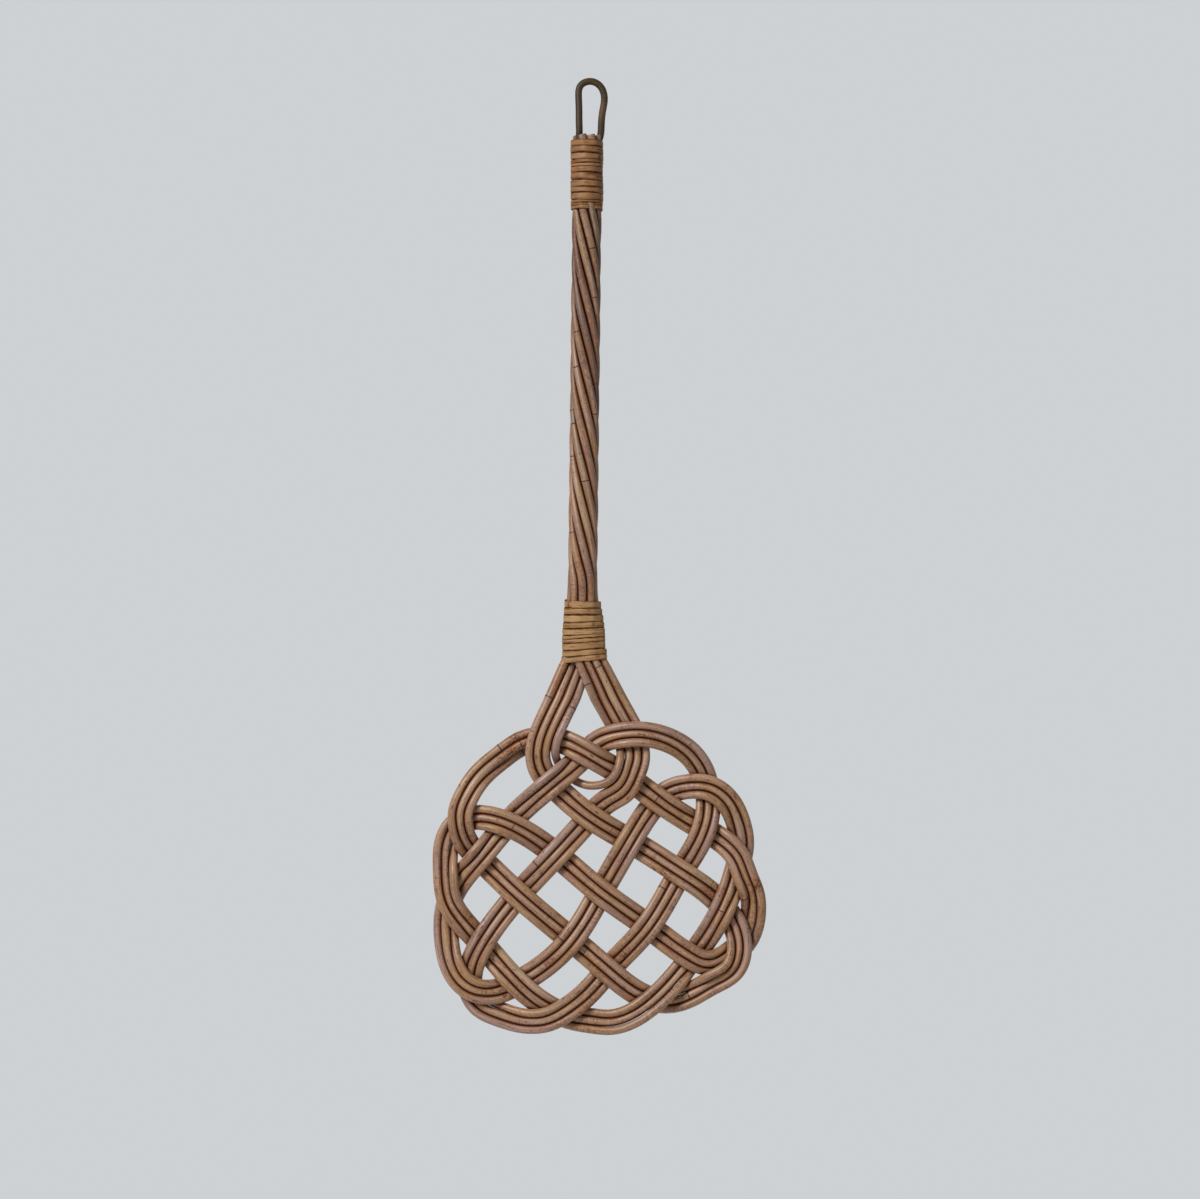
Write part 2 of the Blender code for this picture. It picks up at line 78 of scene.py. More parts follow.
class NodeTree:  # the nodes of a material or of the world

    def __init__(self, tree):
        self.nodes = tree.nodes
        self.links = tree.links

    def node(self, kind, settings=None, values=None, output=0):
        made = self.nodes.new(kind)
        for key, value in (settings or {}).items():
            setattr(made, key, value)
        for key, value in (values or {}).items():
            if isinstance(value, Socket):
                self.links.new(value.link, made.inputs[key])
            else:
                made.inputs[key].default_value = value
        return Socket(self, made.outputs[output]) if len(made.outputs) else None

    def mix(self, share, first, second):
        values = {"Factor": share, "A": first, "B": second}
        return self.node("ShaderNodeMix", {"data_type": "RGBA"}, values, output="Result")

    def ramp(self, value, low, high):
        settings = {"interpolation_type": "SMOOTHSTEP"}
        return self.node("ShaderNodeMapRange", settings, {"Value": value, "From Min": low, "From Max": high})

    def noise(self, place, scale, stretch, detail, shift, roughness):
        values = {"Vector": place, "Location": (shift, shift, shift), "Scale": stretch}
        moved = self.node("ShaderNodeMapping", {}, values)
        values = {"Vector": moved, "Scale": scale, "Detail": detail, "Roughness": roughness}
        return self.node("ShaderNodeTexNoise", {}, values)


class Finish(NodeTree):  # a material, the look that it is made from, and plain values of its shader

    def __init__(self, name, look=None, **constants):
        self.material = bpy.data.materials.new(name)
        self.material.use_nodes = True
        super().__init__(self.material.node_tree)
        self.shader = self.nodes["Principled BSDF"]
        self.look = look
        for key, value in constants.items():
            self.shader.inputs[key.replace("_", " ")].default_value = value

    def feed(self, name, value):
        self.links.new(value.link, self.shader.inputs[name])

    def attribute(self, name, output="Fac"):
        return self.node("ShaderNodeAttribute", {"attribute_name": name}, output=output)

    def objectPlace(self):
        return self.node("ShaderNodeTexCoord", output="Object")

    # the look's noises by name: each has a scale, stretch, detail, shift and roughness
    def noises(self, place, seed=0.0):
        made = {}
        for name, (scale, stretch, detail, shift, roughness) in self.look["noises"].items():
            made[name] = self.noise(place, scale, stretch, detail, seed + shift, roughness)
        return made

    # 0 where a mark begins and 1 where it is full, as the look's spans say
    def span(self, mark, value):
        return self.ramp(value, *self.look["spans"][mark])

    # tones laid over one another: a mark's name, where it shows, and its colour
    def layered(self, tone, layers):
        for mark, share, over in layers:
            tone = self.mix(share * self.look["strengths"][mark], tone, over)
        return tone

    def bumps(self, height):
        strength, distance = self.look["bump"]
        values = {"Strength": strength, "Distance": distance, "Height": height}
        self.feed("Normal", self.node("ShaderNodeBump", {}, values))


# a colour as a picture shows it, 0 to 255, turned into light
def colour(red, green, blue):
    shares = [value / 255 for value in (red, green, blue)]
    return (*[s / 12.92 if s <= 0.04045 else ((s + 0.055) / 1.055) ** 2.4 for s in shares], 1.0)


# values for each point of a mesh, which its finish reads: kind is value, vector or color
def giveAttribute(mesh, name, kind, values):
    kinds = {"value": "FLOAT", "vector": "FLOAT_VECTOR", "color": "FLOAT_COLOR"}
    mesh.attributes.new(name, kinds[kind], "POINT").data.foreach_set(kind, values.ravel())


# what all the canes share, in metres
caneShape = {
    "sides": 16,
    "step": 0.0016,            # between rings of the mesh
    "leastStep": 5e-5,         # rings nearer than this become one
    "smoothAngle": 50,         # in degrees, past which an edge stays sharp
    "merge": 1e-5,             # points of a CAD cane nearer than this are one
    "sectionEdge": 1.1,        # of its diameter: shorter edges of a CAD cane lie in one section
    # as thick as the head's canes up to the first level, as the neck's between the next two,
    # and as the handle's from the last
    "levels": (-0.470, -0.446, -0.420, -0.412),
    "neck": 0.00635,
    "jointBulge": 0.035,       # of the radius, and how far it reaches along the cane
    "jointReach": 0.0022,
    "jointRings": (-0.0022, -0.0012, -0.0006, -0.0003, 0.0, 0.0003, 0.0006, 0.0012, 0.0022),
    "jointFade": 0.0004,       # how much narrower the faintest joint's ring is
    "unevenness": 0.014,       # of the radius, in three waves: each has a start and a rate
    "waves": ((1.3, 31.0), (2.1, 57.0), (3.7, 88.0)),
    "endRounding": 0.00035,    # how long a cane's rounded end is, and how much thinner it gets
    "endTaper": 0.16,
    "markStep": 0.002,         # between the places that a mark can take
    "markReach": 0.0034,       # how near a cane's middle a mark lies on it
    "paintedShadeReach": 0.0026,      # how near a neighbour the skin gets painted shade
    "paintedShadeSkip": 0.020,        # along one cane, how far apart two places are before they can shade each other
    "endSkip": 0.007,          # this near their ends, two canes that meet don't get painted shade from each other
}

# under the bottom binding the canes bend once, at a level, and run straight to where they meet
# their CAD line again
neckPath = {
    "top": -0.4040, "bend": -0.4104, "bendReach": 0.0029, "meet": -0.4428, "blend": 0.006,
    "low": -0.4480, "step": 0.0025,
}

# the loop's legs, straight between two levels, with x at each: the change begins above and ends
# in the top binding
loopLegs = {
    "levels": (-0.040, -0.010), "left": (-0.0089, -0.0091), "right": (0.0059, 0.0088),
    "begin": (-0.008, -0.018), "end": (-0.0390, -0.0450),
}

# each cane: the CAD node that it stands for, its thickness there, in the handle and in the head,
# and its three tones
canePieces = {
    "rightCane": {
        "node": "right_hand_cane", "slot": "cane", "cad": 0.0054, "handle": 0.00585, "head": 0.0062,
        "gold": colour(169, 129, 90), "rose": colour(162, 126, 103), "brown": colour(102, 57, 29),
    },
    "middleCane": {
        "node": "middle_cane", "slot": "cane", "cad": 0.0054, "handle": 0.00585, "head": 0.0062,
        "gold": colour(175, 137, 98), "rose": colour(168, 134, 111), "brown": colour(106, 61, 32),
    },
    "leftCane": {
        "node": "left_hand_cane", "slot": "cane", "cad": 0.0054, "handle": 0.00585, "head": 0.0062,
        "gold": colour(163, 123, 86), "rose": colour(158, 121, 99), "brown": colour(98, 53, 27),
    },
    "shortCane": {
        "node": "short_cane", "slot": "cane", "cad": 0.0054, "handle": 0.00585, "head": 0.0062,
        "gold": colour(159, 121, 87), "rose": colour(156, 122, 102), "brown": colour(98, 57, 31),
    },
    "loopCane": {
        "node": "hanging_loop", "slot": "loop_cane", "cad": 0.0048, "handle": 0.00505, "head": 0.00505,
        "gold": colour(67, 53, 27), "rose": colour(56, 44, 23), "brown": colour(32, 22, 12),
    },
    "leftLoopLeg": {
        "node": "left_loop_leg", "slot": "loop_cane", "cad": 0.0048, "handle": 0.0056, "head": 0.0056,
        "gold": colour(138, 118, 88), "rose": colour(130, 110, 84), "brown": colour(86, 66, 44),
    },
    "rightLoopLeg": {
        "node": "right_loop_leg", "slot": "loop_cane", "cad": 0.0048, "handle": 0.0056, "head": 0.0056,
        "gold": colour(122, 96, 74), "rose": colour(116, 94, 80), "brown": colour(74, 50, 36),
    },
}

# what is seen on the canes from the front, at x and z in millimetres: joints with how dark their
# ring is, brown stains and creases with strength and half length, and stretches of another tone
caneMarks = {
    "joint": [
        (-1.2, -118.4, 0.8), (2.1, -154.8, 0.8), (-12.3, -178.6, 0.9), (-12.0, -204.5, 0.9),
        (5.0, -215.3, 0.8), (2.8, -236.9, 0.9), (-13.2, -235.1, 0.7), (-14.1, -267.8, 0.8),
        (-3.3, -285.8, 0.8), (-13.4, -322.6, 0.8), (-65.6, -477.0, 1.0), (-54.4, -470.2, 0.8),
        (-50.5, -475.2, 1.0), (-50.1, -482.0, 1.0), (-12.7, -449.3, 0.9), (112.2, -586.1, 1.0),
        (93.9, -596.2, 0.7), (69.9, -656.3, 1.0), (48.9, -512.6, 0.8), (-57.0, -536.4, 0.7),
        (-40.3, -560.9, 0.9), (-5.5, -625.0, 0.8), (-22.0, -614.5, 0.9), (52.8, -579.6, 0.8),
        (24.0, -626.0, 0.7), (-30.7, -441.7, 0.9), (-3.5, -430.9, 0.7), (4.2, -420.1, 0.8),
    ],
    "stain": [
        (-54.0, -471.0, 1.0, 10), (-58.0, -479.0, 1.2, 12), (-62.0, -489.0, 0.5, 9),
        (116.7, -577.1, 0.9, 4), (119.8, -575.3, 0.9, 4), (85.2, -581.0, 0.8, 8),
        (90.3, -580.0, 0.9, 4), (113.0, -591.0, 0.6, 7), (70.8, -502.2, 0.5, 3),
        (81.6, -505.1, 0.9, 2), (53.2, -568.1, 0.9, 6), (-86.1, -599.0, 0.8, 8),
        (-30.0, -632.9, 0.8, 8), (24.0, -628.0, 0.8, 6), (-22.0, -612.0, 0.7, 6),
        (-2.0, -365.0, 0.8, 6), (112.0, -601.0, 0.4, 8),
    ],
    "crease": [
        (-2.0, -673.5, 1.0, 12), (-8.0, -681.0, 0.7, 12), (-118.0, -550.0, 0.5, 14),
        (105.0, -556.0, 0.5, 20), (71.0, -512.0, 0.6, 14),
    ],
    "tone": [
        # the loop, and the four cut ends beside it: the umber at x -12.7 is painted shadow, cast by the
        # loop's left leg
        (-9.0, -35.0, "brown", 6), (8.0, -18.0, "bark", 8), (-12.7, -38.9, "umber", 4),
        (-6.3, -38.2, "cream", 4), (-0.1, -38.2, "cream", 4), (5.3, -38.2, "cream", 4),
        # the grip, from the top binding down
        (-14.2, -108.0, "umber", 18), (-9.1, -130.0, "umber", 15), (-12.7, -140.4, "brown", 15),
        (-10.5, -103.0, "straw", 13), (-6.9, -122.4, "straw", 11), (-1.2, -147.6, "straw", 12),
        (-5.8, -103.0, "straw", 13), (1.7, -136.8, "honey", 11), (-12.7, -165.6, "dusk", 13),
        (-9.8, -189.4, "honey", 9), (-4.4, -213.8, "honey", 11), (-7.6, -175.0, "slate", 16),
        (-1.5, -208.8, "slate", 16), (1.4, -190.8, "rust", 14), (5.5, -230.4, "mahogany", 16),
        (-13.0, -219.6, "honey", 14), (-10.5, -253.4, "olive", 18), (-1.2, -301.0, "honey", 11),
        (-10.6, -285.1, "straw", 16), (-5.2, -273.6, "straw", 14), (-4.8, -307.8, "straw", 16),
        (-9.3, -325.8, "dusk", 18), (-3.0, -352.8, "dusk", 16), (-14.8, -339.1, "straw", 30),
        (-18.1, -352.8, "brown", 17),
        # the neck
        (-24.9, -429.1, "rust", 14), (-12.0, -439.0, "rosy", 12), (-4.8, -426.0, "rosy", 12),
        (6.0, -447.6, "dusk", 12), (3.2, -432.0, "rust", 16), (10.4, -429.8, "cream", 20),
        (18.0, -438.0, "honey", 18),
        # the head
        (63.6, -470.2, "lilac", 43), (42.0, -462.2, "lilac", 22), (86.7, -597.6, "lilac", 23),
        (-37.2, -502.6, "lilac", 27), (-30.0, -549.4, "lilac", 24), (33.4, -547.9, "lilac", 23),
        (85.2, -540.0, "lilac", 20), (-111.3, -619.2, "lilac", 27), (-80.4, -608.4, "lilac", 20),
        (-69.6, -673.9, "lilac", 36), (-20.6, -458.6, "lilac", 22), (-27.8, -482.4, "lilac", 13),
        (-85.4, -497.5, "gold", 32), (-55.2, -640.8, "cream", 26), (-51.6, -588.2, "gold", 29),
        (118.4, -590.4, "gold", 29), (55.0, -649.4, "cream", 24), (52.8, -466.6, "gold", 29),
        (50.7, -506.2, "tan", 22), (6.0, -525.6, "gold", 22), (80.9, -572.4, "cream", 22),
        (108.3, -608.4, "lilac", 22),
    ],
}
toneColours = {
    "cream": colour(186, 156, 118), "gold": colour(172, 134, 93), "tan": colour(164, 126, 86),
    "olive": colour(150, 124, 84), "rosy": colour(158, 124, 102), "lilac": colour(160, 130, 118),
    "rust": colour(146, 96, 60), "brown": colour(118, 84, 58), "umber": colour(88, 56, 38),
    "mahogany": colour(116, 56, 36), "bark": colour(98, 72, 48), "straw": colour(176, 146, 110),
    "dusk": colour(146, 114, 96), "slate": colour(142, 118, 108), "honey": colour(152, 118, 82),
}


# the middles of a CAD cane's sections, from one end to the other
def centreLine(node, diameter):
    work = bmesh.new()
    work.from_mesh(nodes[node].data)
    bmesh.ops.remove_doubles(work, verts=work.verts, dist=caneShape["merge"])
    work.verts.ensure_lookup_table()
    section = list(range(len(work.verts)))

    def head(index):
        while section[index] != index:
            index = section[index]
        return index

    limit = caneShape["sectionEdge"] * diameter
    for edge in work.edges:
        if edge.calc_length() < limit:
            section[head(edge.verts[0].index)] = head(edge.verts[1].index)
    corners = {}
    for vert in work.verts:
        corners.setdefault(head(vert.index), []).append(list(vert.co))
    middles = {key: np.mean(places, axis=0) for key, places in corners.items()}
    beside = {key: set() for key in middles}
    for edge in work.edges:
        first, second = head(edge.verts[0].index), head(edge.verts[1].index)
        if first != second:
            beside[first].add(second)
            beside[second].add(first)
    work.free()
    ends = [key for key in beside if len(beside[key]) == 1]
    order = [min(ends, key=lambda key: middles[key][0])]
    for _ in range(len(middles) - 1):
        order += [key for key in beside[order[-1]] if key not in order[-2:]][:1]
    return np.array([middles[key] for key in order])


# how far along a line of places each of them is
def lengthsAlong(places):
    return np.concatenate(([0.0], np.cumsum(np.linalg.norm(np.diff(places, axis=0), axis=1))))


# the natural cubic curve through the places, at the lengths asked for or in even steps
def smoothLine(places, alongs=None, step=None):
    knots = lengthsAlong(places)
    lengths = np.linalg.norm(np.diff(places, axis=0), axis=1)
    system = np.eye(len(places))
    target = np.zeros_like(places)
    for i in range(1, len(places) - 1):
        system[i, i - 1:i + 2] = (lengths[i - 1], 2 * (lengths[i - 1] + lengths[i]), lengths[i])
        slopeBefore = (places[i] - places[i - 1]) / lengths[i - 1]
        slopeAfter = (places[i + 1] - places[i]) / lengths[i]
        target[i] = 6 * (slopeAfter - slopeBefore)
    bends = np.linalg.solve(system, target)
    if alongs is None:
        alongs = np.linspace(0, knots[-1], int(knots[-1] / step) + 2)
    k = np.clip(np.searchsorted(knots, alongs, side="right") - 1, 0, len(lengths) - 1)
    before = (knots[k + 1] - alongs)[:, None]
    after = (alongs - knots[k])[:, None]
    span = lengths[k][:, None]
    points = (bends[k] * before**3 + bends[k + 1] * after**3) / (6 * span)
    points += (places[k] / span - bends[k] * span / 6) * before
    points += (places[k + 1] / span - bends[k + 1] * span / 6) * after
    return points, alongs


# a gentle wave that looks random and is the same each time
def slowWave(alongs, seed):
    return sum(math.sin(seed * start) * np.sin(alongs * rate + seed * start)
               for start, rate in caneShape["waves"]) / 2


def smoothStep(value, low, high):
    share = np.clip((value - low) / (high - low), 0, 1)
    return share * share * (3 - 2 * share)


def straightNeck(line):
    top, low, meet, bend, reach = [neckPath[key] for key in ("top", "low", "meet", "bend", "bendReach")]
    points, alongs = smoothLine(line, step=neckPath["step"])
    outside = (line[:, 2] > top) | (line[:, 2] < low)
    inside = (points[:, 2] < top) & (points[:, 2] > low)
    kept = np.sort(np.concatenate((lengthsAlong(line)[outside], alongs[inside])))
    line, _ = smoothLine(line, alongs=kept)
    inside = (line[:, 2] < top) & (line[:, 2] > low)
    for run in np.split(np.arange(len(line)), np.flatnonzero(np.diff(inside.astype(int))) + 1):
        if not inside[run[0]]:
            continue
        height = line[run, 2]
        order = np.argsort(height)
        xTop, xMeet = np.interp((top, meet), height[order], line[run[order], 0])
        slope = (xMeet - xTop) / (meet - bend)
        corner = np.clip(bend + reach - height, 0, None) ** 2 / (4 * reach)    # rounds the bend
        drop = np.where(np.abs(height - bend) < reach, -corner, np.minimum(height - bend, 0))
        share = smoothStep(-height, -meet - neckPath["blend"], -low)
        line[run, 0] = (xTop + slope * drop) * (1 - share) + line[run, 0] * share
    return line


def straightLegs(line):
    share = smoothStep(-line[:, 2], -loopLegs["begin"][0], -loopLegs["begin"][1])
    share -= smoothStep(-line[:, 2], -loopLegs["end"][0], -loopLegs["end"][1])
    for side in ("left", "right"):
        chosen = (line[:, 0] < 0) == (side == "left")
        straight = np.interp(line[chosen, 2], loopLegs["levels"], loopLegs[side])
        line[chosen, 0] += share[chosen] * (straight - line[chosen, 0])
    return line


def caneLine(piece):
    line = centreLine(piece["node"], piece["cad"])
    if piece["node"] == "hanging_loop":
        return straightLegs(line)
    return straightNeck(line) if line[:, 2].min() < neckPath["low"] else line


# the cane that shows at a place seen from the front, and how far along it that is:
# the foremost of those that pass there, or else the nearest
def frontCane(lines, x, z):
    found = []
    for name, (line, alongs) in lines.items():
        apart = np.hypot(line[:, 0] - x / 1000, line[:, 2] - z / 1000)
        missed = np.where(apart < caneShape["markReach"], 0, 1 + 100 * apart)
        rank = line[:, 1] + apart + missed
        index = int(rank.argmin())
        found.append((rank[index], name, float(alongs[index])))
    return min(found)[1:]


# every mark laid on its cane, with how far along it lies
def layMarks():
    step = caneShape["markStep"]
    lines = {name: smoothLine(caneLine(piece), step=step) for name, piece in canePieces.items()}
    laid = {name: {kind: [] for kind in caneMarks} for name in canePieces}
    for kind, places in caneMarks.items():
        for x, z, *details in places:
            name, along = frontCane(lines, x, z)
            laid[name][kind].append((along, *details))
    return laid


# marks with strength and half length in millimetres, spread along a cane
def spread(alongs, marks):
    total = np.zeros(len(alongs))
    for along, strength, reach in marks:
        total += strength * np.exp(-((alongs - along) / (reach / 1000)) ** 2)
    return total


# the rings of a cane: their middles, how far along they are, the plain radius and the swollen one
def caneRings(piece, marks, seed):
    places = caneLine(piece)
    _, even = smoothLine(places, step=caneShape["step"])
    joints = [along for along, dark in marks["joint"]]
    last, rounding = even[-1], caneShape["endRounding"]
    extra = [joint + offset for joint in joints for offset in caneShape["jointRings"]]
    extra += [rounding, rounding / 3, last - rounding, last - rounding / 3]
    alongs = np.unique(np.concatenate((even, extra)))
    alongs = alongs[(alongs >= 0) & (alongs <= last)]
    alongs = alongs[np.concatenate(([True], np.diff(alongs) > caneShape["leastStep"]))]
    points, alongs = smoothLine(places, alongs=alongs)
    thicknesses = (piece["head"], caneShape["neck"], caneShape["neck"], piece["handle"])
    radius = np.interp(points[:, 2], caneShape["levels"], thicknesses) / 2
    size = 1 + caneShape["unevenness"] * slowWave(alongs, seed)
    for joint in joints:
        size += caneShape["jointBulge"] * np.exp(-((alongs - joint) / caneShape["jointReach"]) ** 2)
    fromEnd = np.minimum(alongs, last - alongs)
    size *= 1 - caneShape["endTaper"] * np.clip(1 - fromEnd / rounding, 0, 1) ** 2
    return points, alongs, radius, radius * size


# what the finish reads along a cane
def markCane(mesh, piece, marks, alongs, seed):
    sides = caneShape["sides"]
    ring = np.repeat(np.arange(len(alongs)), sides)
    turn = np.tile(np.arange(sides) / sides, len(alongs)) * 2 * math.pi
    across = piece["head"] / 2
    # the place of each point on the straightened cane, for the grain
    straight = np.column_stack((np.cos(turn) * across, np.sin(turn) * across, alongs[ring] + seed))
    giveAttribute(mesh, "straight", "vector", straight)
    apart = np.full(len(alongs), 1.0)
    for joint, dark in marks["joint"]:
        apart = np.minimum(apart, np.abs(alongs - joint) + (1 - dark) * caneShape["jointFade"])
    giveAttribute(mesh, "joint", "value", apart[ring])
    for kind in ("stain", "crease"):
        giveAttribute(mesh, kind, "value", spread(alongs, marks[kind])[ring])
    tint = np.zeros((len(alongs), 4))
    for along, tone, reach in marks["tone"]:
        weight = np.exp(-((alongs - along) / (reach / 1000)) ** 4)
        tint += weight[:, None] * np.array(toneColours[tone])
    tint[:, :3] /= np.maximum(tint[:, 3:], 1e-6)
    tint[:, 3] = np.minimum(tint[:, 3], 1)
    giveAttribute(mesh, "tint", "color", tint[ring])


def addCane(name, piece, marks, seed, finish, cutFinish):
    points, alongs, radius, thick = caneRings(piece, marks, seed)
    bpy.ops.object.select_all(action="DESELECT")
    curve = bpy.data.curves.new(name, "CURVE")
    curve.dimensions = "3D"
    curve.bevel_depth = 1
    curve.bevel_resolution = (caneShape["sides"] - 4) // 2
    spline = curve.splines.new("POLY")
    spline.points.add(len(points) - 1)
    for target, place, size in zip(spline.points, points, thick):
        target.co = (*place, 1)
        target.radius = size
    spline.use_smooth = True
    cane = bpy.data.objects.new(name, curve)
    bpy.context.collection.objects.link(cane)
    bpy.context.view_layer.objects.active = cane
    cane.select_set(True)
    bpy.ops.object.convert(target="MESH")
    cane = bpy.context.object
    markCane(cane.data, piece, marks, alongs, seed)

    skin = len(cane.data.polygons)
    bpy.ops.object.mode_set(mode="EDIT")
    bpy.ops.mesh.select_all(action="SELECT")
    bpy.ops.mesh.fill_holes(sides=0)
    bpy.ops.object.mode_set(mode="OBJECT")
    cane.data.materials.clear()
    cane.data.materials.append(finish)
    cane.data.materials.append(cutFinish)
    for face in cane.data.polygons[skin:]:
        face.material_index = 1
    bpy.ops.object.shade_smooth_by_angle(angle=math.radians(caneShape["smoothAngle"]))
    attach(cane, "root")
    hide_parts(piece["node"])
    return cane, {"points": points, "alongs": alongs, "radius": radius}


# painted shade: an attribute that grows where the skin of a cane comes near another, or near itself, and
# darkens the colour there as shade would
def paintShadeWhereCanesMeet(canes, runs):
    sides, reach, step = caneShape["sides"], caneShape["paintedShadeReach"], caneShape["step"]
    places = np.vstack([run["points"] for run in runs.values()])
    tangents = np.vstack([np.gradient(run["points"], axis=0) for run in runs.values()])
    tangents /= np.linalg.norm(tangents, axis=1)[:, None]
    radii = np.concatenate([run["radius"] for run in runs.values()])
    # ten metres on for each cane, so that no two canes have a length in common
    alongs = np.concatenate([run["alongs"] + 10 * order for order, run in enumerate(runs.values())])
    atEnd = np.concatenate([
        np.minimum(run["alongs"], run["alongs"][-1] - run["alongs"]) < caneShape["endSkip"]
        for run in runs.values()
    ])
    tree = kdtree.KDTree(len(places))
    for index, place in enumerate(places):
        tree.insert(place, index)
    tree.balance()
    searched = 2 * radii.max() + reach + step
    first = 0
    for name, run in runs.items():
        mesh = canes[name].data
        corners = np.empty(3 * len(mesh.vertices))
        mesh.vertices.foreach_get("co", corners)
        corners = corners.reshape(-1, 3)
        share = np.zeros(len(corners))
        for index, place in enumerate(run["points"]):
            near = np.array([found for _, found, _ in tree.find_range(place, searched)])
            near = near[np.abs(alongs[near] - alongs[first + index]) > caneShape["paintedShadeSkip"]]
            near = near[~(atEnd[near] & atEnd[first + index])]
            if not len(near):
                continue
            ring = slice(index * sides, (index + 1) * sides)
            away = corners[ring][:, None] - places[near][None]
            slide = np.minimum(np.abs((away * tangents[near][None]).sum(2)), step)
            gap = np.sqrt((away**2).sum(2) - slide**2) - radii[near][None]
            share[ring] = np.clip(1 - gap.min(1) / reach, 0, 1)
        giveAttribute(mesh, "paintedShade", "value", share)
        first += len(run["points"])


caneLook = {
    "noises": {  # scale, stretch, detail, shift and roughness
        "wander": (26.0, (1, 1, 1), 2.0, 0, 0.55),
        "grain": (1300.0, (1, 1, 0.05), 4.0, 3, 0.55),
        "streak": (430.0, (1, 1, 0.03), 2.0, 13, 0.55),
        "mottle": (620.0, (1, 1, 0.6), 3.0, 7, 0.6),
        "wrinkle": (1000.0, (0.22, 0.22, 1), 2.0, 5, 0.55),
        "patch": (60.0, (1, 1, 0.5), 2.0, 9, 0.55),
        "stain": (190.0, (1, 1, 0.5), 4.0, 11, 0.65),
        "speck": (520.0, (1, 1, 0.35), 1.0, 17, 0.55),
        "freckle": (950.0, (1, 1, 0.4), 2.0, 23, 0.55),
    },
    "spans": {  # where a mark begins and where it is full
        "rose": (0.42, 0.60), "grain": (0.35, 0.75), "streak": (0.50, 0.66), "mottle": (0.52, 0.72),
        "wrinkle": (0.46, 0.62), "patch": (0.48, 0.62), "stain": (0.60, 0.78), "speck": (0.70, 0.74),
        "freckle": (0.60, 0.72), "jointStain": (0.34, 0.52), "jointSpeck": (0.45, 0.56),
        # painted shade where canes meet: warm brown, then dark, and darker still in the grip
        "warmShade": (0.0, 0.7), "paintedShade": (0.35, 1.0), "deepShade": (0.25, 0.8),
        "gripShade": (-0.38, -0.12),      # painted shade on the grip, growing up the handle, in metres
        "ring": (0.0, 0.0005),       # from the middle of a joint, in metres
    },
    "strengths": {
        "rose": 1.0, "tint": 0.85, "gripShade": 0.5, "grain": 0.68, "streak": 0.42, "mottle": 0.60,
        "wrinkle": 0.6, "stain": 0.65, "jointStain": 0.8, "jointSpeck": 0.85, "freckle": 0.6,
        "speck": 0.85, "ring": 0.95, "warmShade": 0.8, "paintedShade": 0.95, "deepShade": 0.8,
    },
    "colours": {  # of what doesn't have the cane's own: the grip's is painted shade, darker up the handle, and the last three are painted shade where canes meet
        "gripShade": colour(84, 62, 49), "streak": colour(184, 158, 146), "stain": colour(160, 106, 56),
        # the last colour here and the two below are painted shade where canes meet
        "speck": colour(84, 38, 20), "ring": colour(40, 22, 14), "warmShade": colour(124, 66, 34),
        "paintedShade": colour(38, 15, 7), "deepShade": colour(24, 12, 8),
    },
    "paleness": 1.3,                 # of the mottle, times the golden tone
    "ringWander": 0.0005,            # how far the mottle moves a joint's ring
    # grain and mottle stand up, and the rest is sunk
    "relief": {"grain": 0.6, "mottle": 0.5, "wrinkle": 0.5, "ring": 1.6, "speck": 0.5},
    "bump": (0.55, 0.0003),          # strength and depth
    "roughness": (0.42, 0.2),        # plain, and more with the mottle
    "coat": 0.6, "coatLoss": {"paintedShade": 0.95, "grip": 0.65},
}
loopLook = {  # bare bark with no gloss
    **caneLook,
    "strengths": {**caneLook["strengths"], "gripShade": 0.0, "freckle": 0.3, "mottle": 0.35, "streak": 0.0},
    # painted shade where canes meet, browner on the bark
    "colours": {**caneLook["colours"], "warmShade": colour(44, 29, 18)},
    "coat": 0.0,
}


